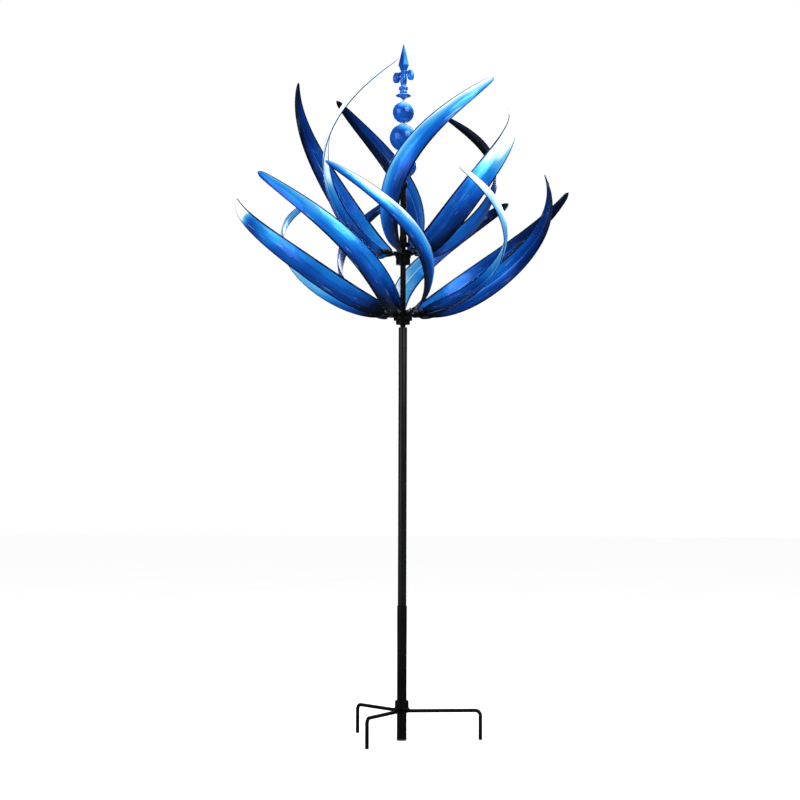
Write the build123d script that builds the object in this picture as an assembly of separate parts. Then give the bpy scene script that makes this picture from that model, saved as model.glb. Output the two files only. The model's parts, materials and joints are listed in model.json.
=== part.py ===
from build123d import *
from dataclasses import dataclass
from math import cos, pi, radians, sin
import os

# A standing garden wind spinner: a three-prong base, a two-piece pole, two rotors of curved blades
# that turn opposite ways on one spindle, and a turned finial on top.
# Millimetres, +Z up. The origin is on the pole's axis, at the underside of the foot.

# ---- standing heights -------------------------------------------------------------------------
FINIAL_TIP_Z = 1829.0
LOWER_HUB_Z = 1107.0        # underside of the lower hub plate
UPPER_HUB_Z = 1267.0        # underside of the upper hub plate
POLE_TOP_Z = 1076.0
POLE_JOINT_Z = 348.0        # where the thin pole section leaves the thick one
POLE_FOOT_Z = 84.0          # where the pole stands on the foot tube
PRONG_Z = 76.0              # centre line of the three prongs

# ---- pole and foot ----------------------------------------------------------------------------
FOOT_RADIUS = 12.7
FOOT_BORE = 11.2
CAP_THICKNESS = 4.0
SPIGOT_RADIUS = 11.15
SPIGOT_BORE = 9.2
SPIGOT_BOTTOM_Z = 30.0
SPIGOT_TOP_Z = 174.0
THIN_POLE_RADIUS = 11.15
THIN_POLE_BORE = 9.6
POLE_OVERLAP = 80.0
COLLAR_RADIUS = 18.0
COLLAR_FLARE_RADIUS = 21.0
COLLAR_LENGTH = 23.0

# ---- prongs -----------------------------------------------------------------------------------
PRONG_RADIUS = 4.75
PRONG_REACH = 206.0         # from the pole's axis to the centre of the down leg
PRONG_BEND = 14.0
PRONG_AZIMUTHS = {"prong_right": 5.0, "prong_rear_left": 125.0, "prong_front_left": 245.0}

# ---- spindle and bearings ---------------------------------------------------------------------
SPINDLE_RADIUS = 6.0
SHOULDER_RADIUS = 7.0
SPINDLE_BOTTOM_Z = 1031.0
SPINDLE_TOP_Z = 1342.0
PLUG_LENGTH = 40.0
BEARING_RADIUS = 14.0
BEARING_WIDTH = 8.0
RACE_INNER_EDGE = 8.5
RACE_OUTER_EDGE = 11.5
BALL_PITCH_RADIUS = 10.0
BEARING_BALL_RADIUS = 2.3
GROOVE_RADIUS = 2.4
BEARING_BALL_COUNT = 8
LOWER_BEARING_Z = 1085.0
UPPER_BEARING_Z = 1243.0
SPACER_RADIUS = 7.4
SPACER_BORE = 6.03
SLEEVE_RADIUS = 6.9
STOP_RADIUS = 19.0
STOP_Z = 1290.0
STOP_LENGTH = 10.0
SET_SCREW_RADIUS = 2.5

# ---- finial -----------------------------------------------------------------------------------
STEM_BOTTOM_Z = STOP_Z + STOP_LENGTH
STEM_TOP_Z = 1471.1
FINIAL_ROD_RADIUS = 2.5
FINIAL_ROD_BOTTOM_Z = 1445.0
FINIAL_ROD_TOP_Z = 1702.0
BALL_WALL = 1.5
BALLS = {"finial_ball_bottom": (1506.8, 35.5), "finial_ball_middle": (1580.6, 37.0),
         "finial_ball_top": (1648.0, 29.0)}     # centre height, radius
FLANGE_BOTTOM_Z = 1682.0
SPEAR_BOTTOM_Z = 1718.0
SPEAR_NECK_Z = 1755.5
SPEAR_WIDEST_Z = 1774.0
LOBE_REACH = 28.0
LOBE_AZIMUTH = -45.0           # the lobes stand across the corner that faces front right
LOBE_Z = 1738.0

# ---- hubs -------------------------------------------------------------------------------------
LOWER_BARREL_RADIUS = 18.5
LOWER_FLANGE_RADIUS = 24.5
LOWER_BARREL_Z = 1084.0
LOWER_STEP_Z = 1094.5
UPPER_BARREL_RADIUS = 19.0
UPPER_FLANGE_RADIUS = 20.5
UPPER_BARREL_Z = 1242.0
UPPER_STEP_Z = 1260.0
HUB_NECK_RADIUS = 11.0
HUB_NECK_BORE = 8.4
HUB_NUT_RADIUS = 17.5
HUB_NUT_LENGTH = 11.0
PLATE_THICKNESS = 3.0
TAB_WIDTH = 15.0
TAB_THICKNESS = 2.5
TANG_LENGTH = 27.0          # straight part of a blade that lies under its tab

# ---- blades -----------------------------------------------------------------------------------
BLADE_THICKNESS = 1.2
BLADE_STATIONS = 13
DISH_SHARE = 0.11           # depth of a blade's hollow, as a share of its width
ROOT_DISH = 0.4
SCREW_RADIUS = 2.4
SCREW_HOLE_RADIUS = 2.7
SCREW_HEAD_RADIUS = 4.2
SCREW_HEAD_LENGTH = 2.6
SCREW_PLACES = (7.0, 20.0)  # back along the tang from its outer end
NUT_RADIUS = 4.6
NUT_LENGTH = 4.0


@dataclass
class Bend:
    """How one blade differs by hand from the others of its tier."""
    sweep: float            # degrees
    reach: float
    rise: float
    twist: float = 0.0      # degrees
    tip_width: float = 6.0


STRAIGHT = Bend(0, 0, 0)


@dataclass
class Tier:
    name: str
    hub_z: float            # underside of the hub plate
    disc_radius: float
    root_radius: float      # where the curved part of a blade starts
    root_rise: float        # the same point's height over the plate's underside
    tip_radius: float
    tip_rise: float
    cup: bool               # true where the blades close to a steep cup, false for an open bowl
    sweep: float            # degrees that a blade turns around the axis, root to tip
    sweep_power: float      # a higher power keeps the turn nearer to the tip
    pitch: float            # degrees between a blade's width and the bowl that it lies in
    root_width: float
    full_width: float
    swell: float            # below 1 moves the widest place towards the tip
    counter: bool           # true where the blades swirl anticlockwise seen from above
    first_azimuth: float    # of the first blade's root
    bends: tuple            # one for each blade


LOWER = Tier(name="lower", hub_z=LOWER_HUB_Z, disc_radius=30.0,
             root_radius=62.0, root_rise=11.0, tip_radius=452.0, tip_rise=345.0, cup=False,
             sweep=50.0, sweep_power=2.6, pitch=52.0,
             root_width=27.0, full_width=60.0, swell=0.82,
             counter=False, first_azimuth=-105.0,
             bends=(Bend(-4, -30, 0, tip_width=10), Bend(5, -65, 5), Bend(-1, 30, -30),
                    Bend(4, 0, -20, twist=25), Bend(3, -15, -15, tip_width=10),
                    Bend(-3, -10, 5, tip_width=16), Bend(-5, 35, 60), Bend(3, 35, 25),
                    Bend(-2, 10, -25, tip_width=22)))
UPPER = Tier(name="upper", hub_z=UPPER_HUB_Z, disc_radius=26.0,
             root_radius=58.0, root_rise=8.0, tip_radius=290.0, tip_rise=438.0, cup=True,
             sweep=62.0, sweep_power=3.2, pitch=39.0,
             root_width=27.0, full_width=69.0, swell=0.98,
             counter=True, first_azimuth=-106.0,
             bends=(Bend(5, 5, -5), Bend(0, 0, -30, tip_width=10), Bend(-6, 45, -5), Bend(-3, -20, 15),
                    Bend(-6, -10, 10), Bend(11, -10, 20, twist=10)))


# ---- small helpers ----------------------------------------------------------------------------
def tube(outer, inner, bottom, top):
    ring = Circle(outer) - Circle(inner)
    return extrude(Pos(0, 0, bottom) * ring, amount=top - bottom)


def turned(points):
    """A solid of revolution about the Z axis from (radius, height) points."""
    outline = Polyline([(radius, 0, height) for radius, height in points], close=True)
    return revolve(make_face(outline), axis=Axis.Z)


# ---- base and pole ----------------------------------------------------------------------------
def foot_tube():
    return tube(FOOT_RADIUS, FOOT_BORE, CAP_THICKNESS, POLE_FOOT_Z)


def foot_cap():
    plug_height = 14.0
    return turned([(0, 0), (FOOT_RADIUS - 1, 0), (FOOT_RADIUS, 1), (FOOT_RADIUS, CAP_THICKNESS),
                   (FOOT_BORE - 0.05, CAP_THICKNESS), (FOOT_BORE - 0.05, plug_height), (0, plug_height)])


def foot_spigot():
    return tube(SPIGOT_RADIUS, SPIGOT_BORE, SPIGOT_BOTTOM_Z, SPIGOT_TOP_Z)


def base_collar():
    bottom = PRONG_Z + PRONG_RADIUS
    top = bottom + COLLAR_LENGTH
    bore = FOOT_RADIUS + 0.05
    return turned([(bore, bottom), (COLLAR_FLARE_RADIUS, bottom), (COLLAR_FLARE_RADIUS, bottom + 2),
                   (COLLAR_RADIUS, bottom + 6), (COLLAR_RADIUS, top - 4), (COLLAR_RADIUS - 3, top),
                   (bore, top)])


def prong(azimuth):
    """A rod that leaves the foot tube level and bends down to the ground."""
    path = FilletPolyline((FOOT_RADIUS - 2, 0, PRONG_Z), (PRONG_REACH, 0, PRONG_Z), (PRONG_REACH, 0, 0),
                          radius=PRONG_BEND)
    rod = sweep(Plane(path @ 0, z_dir=path % 0) * Circle(PRONG_RADIUS), path=path)
    rod -= Cylinder(FOOT_RADIUS, 4 * PRONG_Z)
    return Rot(0, 0, azimuth) * rod


def lower_pole():
    return tube(FOOT_RADIUS, FOOT_BORE, POLE_FOOT_Z, POLE_JOINT_Z)


def upper_pole():
    return tube(THIN_POLE_RADIUS, THIN_POLE_BORE, POLE_JOINT_Z - POLE_OVERLAP, POLE_TOP_Z)


def pole_plug():
    return tube(THIN_POLE_BORE - 0.05, SPINDLE_RADIUS + 0.02, POLE_TOP_Z - PLUG_LENGTH, POLE_TOP_Z)


# ---- spindle and what is on it ----------------------------------------------------------------
def spindle():
    length = SPINDLE_TOP_Z - SPINDLE_BOTTOM_Z
    rod = Pos(0, 0, SPINDLE_BOTTOM_Z) * extrude(Circle(SPINDLE_RADIUS), amount=length)
    shoulder = tube(SHOULDER_RADIUS, SPINDLE_RADIUS - 1, POLE_TOP_Z, LOWER_BEARING_Z)
    return rod + shoulder


def bearing_levels(bottom):
    """The middle heights of a hub's two bearings."""
    return [bottom + BEARING_WIDTH * (index + 0.5) for index in range(2)]


def groove(level):
    return Pos(0, 0, level) * Torus(BALL_PITCH_RADIUS, GROOVE_RADIUS)


def race_pair(outer, inner, bottom):
    rings = []
    for level in bearing_levels(bottom):
        ring = tube(outer, inner, level - BEARING_WIDTH / 2 + 0.05, level + BEARING_WIDTH / 2 - 0.05)
        rings.append(ring - groove(level))
    return Compound(children=rings)


def inner_races(bottom):
    return race_pair(RACE_INNER_EDGE, SPINDLE_RADIUS + 0.02, bottom)


def outer_races(bottom):
    return race_pair(BEARING_RADIUS, RACE_OUTER_EDGE, bottom)


def bearing_balls(bottom):
    balls = []
    for level in bearing_levels(bottom):
        for index in range(BEARING_BALL_COUNT):
            turn = Rot(0, 0, 360 * index / BEARING_BALL_COUNT)
            balls.append(turn * Pos(BALL_PITCH_RADIUS, 0, level) * Sphere(BEARING_BALL_RADIUS))
    return Compound(children=balls)


def spacer_tube():
    return tube(SPACER_RADIUS, SPACER_BORE, LOWER_BEARING_Z + 2 * BEARING_WIDTH, UPPER_BEARING_Z)


def top_sleeve():
    return tube(SLEEVE_RADIUS, SPACER_BORE, UPPER_BEARING_Z + 2 * BEARING_WIDTH, STOP_Z)


def set_screw_line():
    """The spindle collar's radial hole, from the spindle out through the collar's back."""
    return Pos(0, 0, STOP_Z + STOP_LENGTH / 2) * Rot(0, 0, 90) * Rot(0, 90, 0)


def spindle_collar():
    ring = tube(STOP_RADIUS, SPINDLE_RADIUS + 0.02, STOP_Z, STOP_Z + STOP_LENGTH)
    ring = chamfer(ring.edges().filter_by(GeomType.CIRCLE).sort_by(SortBy.RADIUS)[-2:], 1.0)
    hole = set_screw_line() * extrude(Circle(SET_SCREW_RADIUS + 0.02), amount=STOP_RADIUS + 5)
    return ring - hole


def collar_screw():
    socket_depth = 3.0
    start = SPINDLE_RADIUS + 0.05
    screw = Pos(0, 0, start) * extrude(Circle(SET_SCREW_RADIUS), amount=STOP_RADIUS - 1 - start)
    socket = Pos(0, 0, STOP_RADIUS - 1 - socket_depth) * extrude(RegularPolygon(1.4, 6), amount=socket_depth)
    return set_screw_line() * (screw - socket)


# ---- hubs -------------------------------------------------------------------------------------
def hub_barrel(tier, bottom, step, radius, flange):
    """Bearing housing: a stepped barrel with a neck that passes up through the plate."""
    neck_top = tier.hub_z + PLATE_THICKNESS + HUB_NUT_LENGTH
    seat_top = bottom + 1 + 2 * BEARING_WIDTH
    return turned([(BEARING_RADIUS + 0.02, bottom), (radius, bottom), (radius, step), (flange, step),
                   (flange, tier.hub_z), (HUB_NECK_RADIUS, tier.hub_z), (HUB_NECK_RADIUS, neck_top),
                   (HUB_NECK_BORE, neck_top), (HUB_NECK_BORE, seat_top), (BEARING_RADIUS + 0.02, seat_top)])


def hub_nut(tier):
    bottom = tier.hub_z + PLATE_THICKNESS
    nut = tube(HUB_NUT_RADIUS, HUB_NECK_RADIUS + 0.02, bottom, bottom + HUB_NUT_LENGTH)
    return chamfer(nut.edges().filter_by(GeomType.CIRCLE).sort_by(SortBy.RADIUS)[-2:], 1.0)


def tang_plane(tier, back):
    """The root's own plane, a distance back from the tang's outer end: X across, Y inward."""
    frame = blade_frame(tier, 0.0)
    return Plane(frame.origin - frame.z_dir * back, x_dir=frame.x_dir, z_dir=frame.z_dir)


def hub_tab(tier):
    """One tab: it twists from flat at the disc to the blade's pitch, then runs straight."""
    lift = TAB_THICKNESS / 2 + 0.05
    mid_height = tier.hub_z + PLATE_THICKNESS / 2
    start = Plane((tier.disc_radius - 4, 0, mid_height), x_dir=(0, 1, 0), z_dir=(1, 0, 0))
    root = start * Rectangle(TAB_WIDTH - 1, TAB_THICKNESS)
    inner = tang_plane(tier, TANG_LENGTH) * Pos(0, lift) * Rectangle(TAB_WIDTH, TAB_THICKNESS)
    twist = loft([root, inner])
    arm = extrude(inner, amount=TANG_LENGTH, dir=blade_frame(tier, 0.0).z_dir)
    return twist + arm


def hub_plate(tier):
    tab = hub_tab(tier)
    for place in SCREW_PLACES:
        tab -= screw_line(tier, place) * Cylinder(SCREW_HOLE_RADIUS, 40)
    if tier.counter:
        tab = mirror(tab, about=Plane.XZ)
    plate = tube(tier.disc_radius, HUB_NECK_RADIUS + 0.02, tier.hub_z, tier.hub_z + PLATE_THICKNESS)
    for azimuth in blade_azimuths(tier):
        plate += Rot(0, 0, azimuth) * tab
    return plate


# ---- blades -----------------------------------------------------------------------------------
def blade_azimuths(tier):
    count = len(tier.bends)
    return [tier.first_azimuth + 360 * index / count for index in range(count)]


def blade_point(tier, t, bend=STRAIGHT):
    """Centre line of a blade that leaves the hub along +X and swirls clockwise; t runs 0 to 1.

    A blade's own bend starts past the root, so that every root meets its tab the same way.
    """
    settled = 1 - (1 - t) ** 6
    if tier.cup:
        share = sin(pi / 2 * t) ** 1.4
        climb = 1 - cos(pi / 2 * t)
    else:
        share = t
        climb = 0.77 * t ** 2 + 0.23 * t
    radius = tier.root_radius + (tier.tip_radius - tier.root_radius + bend.reach * settled) * share
    height = tier.hub_z + tier.root_rise + (tier.tip_rise - tier.root_rise + bend.rise * settled) * climb
    turn = -radians(tier.sweep + bend.sweep) * t ** tier.sweep_power
    return Vector(radius * cos(turn), radius * sin(turn), height)


def blade_frame(tier, t, bend=STRAIGHT):
    """Plane across the blade: X runs along its width, Y towards the inside of the bowl."""
    step = 0.001
    here = blade_point(tier, t, bend)
    along = (blade_point(tier, t + step, bend) - here).normalized()
    around = Vector(-here.Y, here.X, 0).normalized()
    around = (around - along * around.dot(along)).normalized()
    inward = along.cross(around)
    pitch = radians(tier.pitch + bend.twist * (1 - (1 - t) ** 3))
    across = around * cos(pitch) + inward * sin(pitch)
    return Plane(here, x_dir=across, z_dir=along)


def blade_width(tier, t, bend):
    """Narrow root, widest past the middle, narrow tip."""
    swell = sin(pi * t ** tier.swell) ** 0.55 if 0 < t < 1 else 0.0
    base = tier.root_width + (bend.tip_width - tier.root_width) * t
    return base + (tier.full_width - 0.5 * (tier.root_width + bend.tip_width)) * swell


def blade_section(plane, width, dish):
    """Thin dished section with a crease along its middle."""
    half = width / 2

    def at(across, inward):
        return plane.from_local_coords(Vector(across, inward, 0))

    low = -BLADE_THICKNESS
    return Wire([
        ThreePointArc(at(-half, 0), at(-half / 2, -0.64 * dish), at(0, -dish)),
        ThreePointArc(at(0, -dish), at(half / 2, -0.64 * dish), at(half, 0)),
        Line(at(half, 0), at(half, low)),
        ThreePointArc(at(half, low), at(half / 2, low - 0.64 * dish), at(0, low - dish)),
        ThreePointArc(at(0, low - dish), at(-half / 2, low - 0.64 * dish), at(-half, low)),
        Line(at(-half, low), at(-half, 0)),
    ])


def screw_line(tier, place):
    """Through the tang and tab, with +Z pointing into the bowl."""
    plane = tang_plane(tier, place)
    return Plane(plane.origin, x_dir=plane.x_dir, z_dir=plane.y_dir).location


def blade(tier, bend):
    """A dished sheet that swirls up from its flat, straight tang."""
    root = blade_section(tang_plane(tier, 0.0), tier.root_width, ROOT_DISH)
    tang_end = blade_section(tang_plane(tier, TANG_LENGTH), 0.8 * tier.root_width, ROOT_DISH)
    sections = [root]
    for index in range(1, BLADE_STATIONS):
        t = index / (BLADE_STATIONS - 1)
        width = blade_width(tier, t, bend)
        dish = ROOT_DISH + DISH_SHARE * width * min(1, 4 * t)
        sections.append(blade_section(blade_frame(tier, t, bend), width, dish))
    sheet = Solid.make_loft(sections) + Solid.make_loft([tang_end, root])
    for place in SCREW_PLACES:
        sheet -= screw_line(tier, place) * Cylinder(SCREW_HOLE_RADIUS, 40)
    if tier.counter:
        sheet = mirror(sheet, about=Plane.XZ)
    return sheet


def blade_screws(tier):
    head_top = -(BLADE_THICKNESS + 0.5)
    end = TAB_THICKNESS + NUT_LENGTH + 2
    screw = Pos(0, 0, head_top) * extrude(Circle(SCREW_RADIUS), amount=end - head_top)
    head_bottom = Pos(0, 0, head_top - SCREW_HEAD_LENGTH)
    head = head_bottom * extrude(Circle(SCREW_HEAD_RADIUS), amount=SCREW_HEAD_LENGTH)
    head = fillet(head.edges().sort_by(Axis.Z)[0], 1.2)
    return fasteners(tier, screw + head)


def blade_nuts(tier):
    bottom = TAB_THICKNESS + 0.1
    nut = RegularPolygon(NUT_RADIUS, 6) - Circle(SCREW_RADIUS + 0.02)
    return fasteners(tier, Pos(0, 0, bottom) * extrude(nut, amount=NUT_LENGTH))


def fasteners(tier, piece):
    """The same piece on each of a tier's screw lines."""
    group = []
    for azimuth in blade_azimuths(tier):
        for place in SCREW_PLACES:
            one = screw_line(tier, place) * piece
            if tier.counter:
                one = mirror(one, about=Plane.XZ)
            group.append(Rot(0, 0, azimuth) * one)
    return Compound(children=group)


# ---- finial -----------------------------------------------------------------------------------
def finial_stem():
    bore = SPINDLE_RADIUS + 0.03
    bore_top = SPINDLE_TOP_Z + 1
    rod_bore = FINIAL_ROD_RADIUS + 0.02
    return turned([(bore, STEM_BOTTOM_Z), (10, STEM_BOTTOM_Z), (10, STEM_BOTTOM_Z + 14),
                   (8.4, STEM_BOTTOM_Z + 20), (9.4, STEM_BOTTOM_Z + 60), (7, STEM_TOP_Z - 30),
                   (11, STEM_TOP_Z - 18), (11, STEM_TOP_Z - 12), (7, STEM_TOP_Z - 6), (9, STEM_TOP_Z),
                   (rod_bore, STEM_TOP_Z), (rod_bore, FINIAL_ROD_BOTTOM_Z), (0, FINIAL_ROD_BOTTOM_Z),
                   (0, bore_top), (bore, bore_top)])


def finial_rod():
    length = FINIAL_ROD_TOP_Z - FINIAL_ROD_BOTTOM_Z
    return Pos(0, 0, FINIAL_ROD_BOTTOM_Z) * extrude(Circle(FINIAL_ROD_RADIUS), amount=length)


def finial_ball(centre, radius):
    """Hollow ball, threaded on the finial rod like a bead."""
    shell = Sphere(radius) - Sphere(radius - BALL_WALL) - Cylinder(FINIAL_ROD_RADIUS + 0.05, 3 * radius)
    return Pos(0, 0, centre) * shell


def finial_flange():
    bore = FINIAL_ROD_RADIUS + 0.02
    bottom = FLANGE_BOTTOM_Z
    bore_top = FINIAL_ROD_TOP_Z + 1
    return turned([(bore, bottom), (4, bottom), (7, bottom + 4), (17, bottom + 7), (20.4, bottom + 9),
                   (20.4, bottom + 11.5), (18, bottom + 13.5), (8, bottom + 14.5), (8, bottom + 16.5),
                   (10.5, bottom + 17.5), (10.5, bottom + 22), (8.5, bottom + 24), (12.6, bottom + 26),
                   (12.6, bottom + 32.5), (9, SPEAR_BOTTOM_Z), (0, SPEAR_BOTTOM_Z), (0, bore_top),
                   (bore, bore_top)])


def spear_lobe():
    """Side lobe that leaves the spear's neck outward and droops."""
    path = ThreePointArc((4, 0, LOBE_Z + 4), (0.7 * LOBE_REACH, 0, LOBE_Z + 17), (LOBE_REACH, 0, LOBE_Z))
    arm = sweep(Plane(path @ 0, z_dir=path % 0) * Circle(5.5), path=path)
    return arm + Pos(LOBE_REACH, 0, LOBE_Z) * Sphere(8.3)


def finial_spear():
    """Four-sided point over a round waist, with a lobe each side."""
    waist = turned([(0, SPEAR_BOTTOM_Z), (7.5, SPEAR_BOTTOM_Z), (7.5, SPEAR_BOTTOM_Z + 6), (10, LOBE_Z),
                    (8, SPEAR_NECK_Z), (0, SPEAR_NECK_Z)])
    neck = Pos(0, 0, SPEAR_NECK_Z) * Rectangle(10, 10)
    widest = Pos(0, 0, SPEAR_WIDEST_Z) * Rectangle(20.5, 20.5)
    tip = Pos(0, 0, FINIAL_TIP_Z) * Rectangle(0.6, 0.6)
    point = loft([neck, widest]) + loft([widest, tip])
    lobes = spear_lobe() + mirror(spear_lobe(), about=Plane.YZ)
    return Rot(0, 0, 45) * point + waist + Rot(0, 0, LOBE_AZIMUTH) * lobes


# ---- every node of the assembly ---------------------------------------------------------------
def all_nodes():
    nodes = {
        "foot_tube": foot_tube(),
        "foot_cap": foot_cap(),
        "foot_spigot": foot_spigot(),
        "base_collar": base_collar(),
        "lower_pole": lower_pole(),
        "upper_pole": upper_pole(),
        "pole_plug": pole_plug(),
        "spindle": spindle(),
        "lower_inner_races": inner_races(LOWER_BEARING_Z),
        "lower_bearing_balls": bearing_balls(LOWER_BEARING_Z),
        "lower_outer_races": outer_races(LOWER_BEARING_Z),
        "upper_inner_races": inner_races(UPPER_BEARING_Z),
        "upper_bearing_balls": bearing_balls(UPPER_BEARING_Z),
        "upper_outer_races": outer_races(UPPER_BEARING_Z),
        "spacer_tube": spacer_tube(),
        "top_sleeve": top_sleeve(),
        "spindle_collar": spindle_collar(),
        "collar_screw": collar_screw(),
        "finial_stem": finial_stem(),
        "finial_rod": finial_rod(),
        "finial_flange": finial_flange(),
        "finial_spear": finial_spear(),
        "lower_hub_barrel": hub_barrel(LOWER, LOWER_BARREL_Z, LOWER_STEP_Z, LOWER_BARREL_RADIUS,
                                       LOWER_FLANGE_RADIUS),
        "upper_hub_barrel": hub_barrel(UPPER, UPPER_BARREL_Z, UPPER_STEP_Z, UPPER_BARREL_RADIUS,
                                       UPPER_FLANGE_RADIUS),
    }
    for name, azimuth in PRONG_AZIMUTHS.items():
        nodes[name] = prong(azimuth)
    for name, (centre, radius) in BALLS.items():
        nodes[name] = finial_ball(centre, radius)
    for tier in (LOWER, UPPER):
        nodes[f"{tier.name}_hub_plate"] = hub_plate(tier)
        nodes[f"{tier.name}_hub_nut"] = hub_nut(tier)
        nodes[f"{tier.name}_blade_screws"] = blade_screws(tier)
        nodes[f"{tier.name}_blade_nuts"] = blade_nuts(tier)
        for index, azimuth in enumerate(blade_azimuths(tier)):
            nodes[f"{tier.name}_blade_{index + 1}"] = Rot(0, 0, azimuth) * blade(tier, tier.bends[index])
    return nodes


os.makedirs("parts", exist_ok=True)
for node, solid in all_nodes().items():
    export_step(solid, f"parts/{node}.step")
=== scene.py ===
import json
from dataclasses import dataclass
from math import asin, cos, exp, pi, radians, sin, sqrt

import bmesh
import bpy
from mathutils import Matrix, Vector


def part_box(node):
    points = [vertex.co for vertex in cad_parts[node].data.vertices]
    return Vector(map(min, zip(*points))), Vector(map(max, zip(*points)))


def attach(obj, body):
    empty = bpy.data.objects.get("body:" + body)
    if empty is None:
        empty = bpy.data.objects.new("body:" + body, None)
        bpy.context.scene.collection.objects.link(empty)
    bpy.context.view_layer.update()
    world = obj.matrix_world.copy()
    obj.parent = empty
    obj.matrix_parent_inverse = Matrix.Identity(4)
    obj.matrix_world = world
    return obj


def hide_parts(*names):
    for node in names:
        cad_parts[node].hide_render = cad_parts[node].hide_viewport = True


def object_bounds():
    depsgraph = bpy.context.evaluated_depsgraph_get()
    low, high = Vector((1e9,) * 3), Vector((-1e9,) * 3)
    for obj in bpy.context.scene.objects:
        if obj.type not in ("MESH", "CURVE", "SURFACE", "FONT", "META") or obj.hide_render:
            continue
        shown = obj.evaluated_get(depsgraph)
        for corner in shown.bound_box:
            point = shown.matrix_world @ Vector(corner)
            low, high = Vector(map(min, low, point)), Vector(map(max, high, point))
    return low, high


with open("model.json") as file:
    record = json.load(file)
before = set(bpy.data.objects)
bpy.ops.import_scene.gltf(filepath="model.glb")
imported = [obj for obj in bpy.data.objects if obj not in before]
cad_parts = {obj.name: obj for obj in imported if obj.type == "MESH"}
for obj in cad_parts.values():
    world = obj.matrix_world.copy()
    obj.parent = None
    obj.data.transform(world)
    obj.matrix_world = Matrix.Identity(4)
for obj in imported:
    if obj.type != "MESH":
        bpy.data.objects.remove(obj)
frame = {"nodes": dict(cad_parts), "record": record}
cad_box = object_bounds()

# A standing garden wind spinner: two rotors of painted steel blades, a finial, and a black stand.
# Lengths are written in millimetres and turned to metres by MM. +Z is up and the pole is the axis.
MM = 0.001
ROUND = 96                  # segments round a turned piece
ROD_SEGMENTS = 36
PRONG_RADIUS = 4.75
KNURL = (32, 0.35)          # count and depth of the grips round a hub nut

# ---- blades -----------------------------------------------------------------------------------
BLADE_THICKNESS = 1.2
DISH_SHARE = 0.11           # depth of a blade's hollow, as a share of its width
ROOT_DISH = 0.4
DISH_SLOPE = 0.44           # share of the hollow that rises straight from the crease
DISH_CURVE = 0.56           # and the share that rises with the square
TANG_LENGTH = 27.0
TANG_TAPER = 0.2            # how much narrower the tang's end is than its root
TANG_CORNER = 5.0           # length over which the tang's end is rounded
BLADE_STEPS = 96            # stations along a blade's curved part
STATION_CROWDING = 1.25     # above 1, stations lie closer together toward the tip
TANG_STEPS = 10
HALF_COLUMNS = 12           # columns from the crease to a rim
COLUMN_CROWDING = 0.9       # below 1, columns lie closer together toward the rim
RIM_STEPS = 4
SETTLE_POWER = 6            # how soon past the root a blade takes up its own bend
CUP_POWER = 1.4             # how a cup's radius grows along the blade
BOWL_CURVE = 0.77           # how a bowl's height grows with the square of the way along
BOWL_SLOPE = 0.23           # and straight with it
SWELL_POWER = 0.55          # below 1, a blade keeps its full width for longer


@dataclass
class Bend:
    """How one blade's curve differs from its tier's, and its paint with painted light and shade.

    Sweep, reach and rise are rounded results of a fit to the photograph. The rest was given.
    The tones run from root to tip: 0 is black, 0.4 royal blue, 0.6 azure and 1 white.
    """
    sweep: float            # degrees
    reach: float
    rise: float
    # blue paint from root to tip with painted light and shade in it: paler where a blade caught or mirrored
    # light, darker where it stood in shade
    paint_and_light_tones: tuple
    twist: float = 0.0      # degrees
    tip_width: float = 6.0
    slant: float = 0.13     # painted light and shade: how much paler one long edge is than the middle, and darker the other


@dataclass
class Tier:
    name: str
    hub_z: float            # underside of the hub plate
    root_radius: float
    root_rise: float        # over the hub plate's underside
    tip_radius: float
    tip_rise: float
    cup: bool               # true where the blades close to a steep cup
    sweep: float            # degrees
    sweep_power: float
    pitch: float            # degrees
    root_width: float
    full_width: float
    swell: float
    counter: bool           # true where the blades swirl anticlockwise seen from above
    first_azimuth: float
    bends: tuple            # one for each blade


def plate_underside(tier_name):
    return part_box(f"{tier_name}_hub_plate")[0].z / MM


LOWER = Tier(name="lower", hub_z=plate_underside("lower"),
             root_radius=62.0, root_rise=11.0, tip_radius=452.0, tip_rise=345.0, cup=False,
             sweep=50.0, sweep_power=2.6, pitch=52.0,
             root_width=27.0, full_width=60.0, swell=0.82, counter=False, first_azimuth=-105.0,
             bends=(Bend(-4, -30, 0, (0.05, 0.21, 0.34, 0.44, 0.54, 0.58, 0.52), tip_width=10,
                         slant=0.2),
                    Bend(5, -65, 5, (0.02, 0.12, 0.26, 0.35, 0.42, 0.52, 0.66, 0.78, 0.50), slant=0.36),
                    Bend(-1, 30, -30, (0.10, 0.34, 0.32, 0.60, 0.72, 0.84, 0.98)),
                    Bend(4, 0, -20, (0.08, 0.38, 0.46, 0.42, 0.35, 0.20, 0.05), twist=25),
                    Bend(3, -15, -15, (0.05, 0.36, 0.42, 0.38, 0.31, 0.17, 0.04), tip_width=10),
                    Bend(-3, -10, 5, (0.56, 0.78, 0.86, 0.86, 0.76, 0.62, 0.44, 0.28, 0.08),
                         tip_width=16),
                    Bend(-5, 35, 60, (0.10, 0.30, 0.40, 0.30, 0.16)),
                    Bend(3, 35, 25, (0.12, 0.54, 0.72, 0.78, 0.74, 0.62)),
                    Bend(-2, 10, -25, (0.04, 0.16, 0.28, 0.38, 0.44, 0.46, 0.42, 0.46, 0.44, 0.50, 0.44,
                                       1.0, 1.0), tip_width=22)))
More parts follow.
